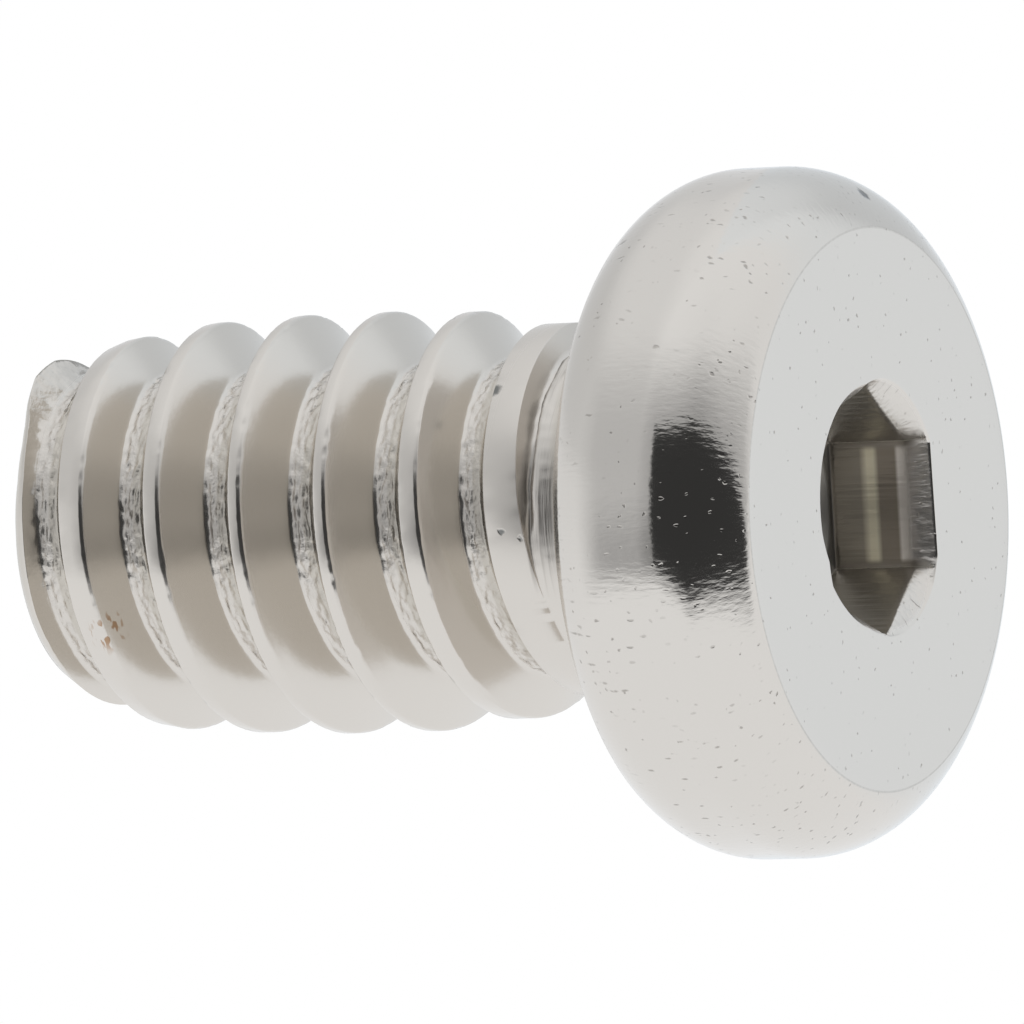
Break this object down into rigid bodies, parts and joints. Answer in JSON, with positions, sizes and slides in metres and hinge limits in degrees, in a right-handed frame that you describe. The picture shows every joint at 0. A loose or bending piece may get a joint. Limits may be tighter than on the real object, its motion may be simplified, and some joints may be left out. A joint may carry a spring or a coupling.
{
  "type": "low head socket cap screw",
  "caption": "Short machine screw with a low round head, a flat face with a hex socket, and a coarse right-hand thread, in bright plated steel.",
  "frame": {"origin": "centre of the flat head face, which is the lowest point: the screw stands on its head", "axes": "+Z along the screw axis from the head face towards the thread point; +X through one corner of the hex socket"},
  "size_m": [0.0074, 0.0074, 0.0098],
  "materials": {
    "plated_steel": "bright nickel-toned plating over rolled thread and forged head, fine pits and short scratches"
  },
  "bodies": {
    "root": {"screw": "plated_steel"}
  },
  "joints": []
}
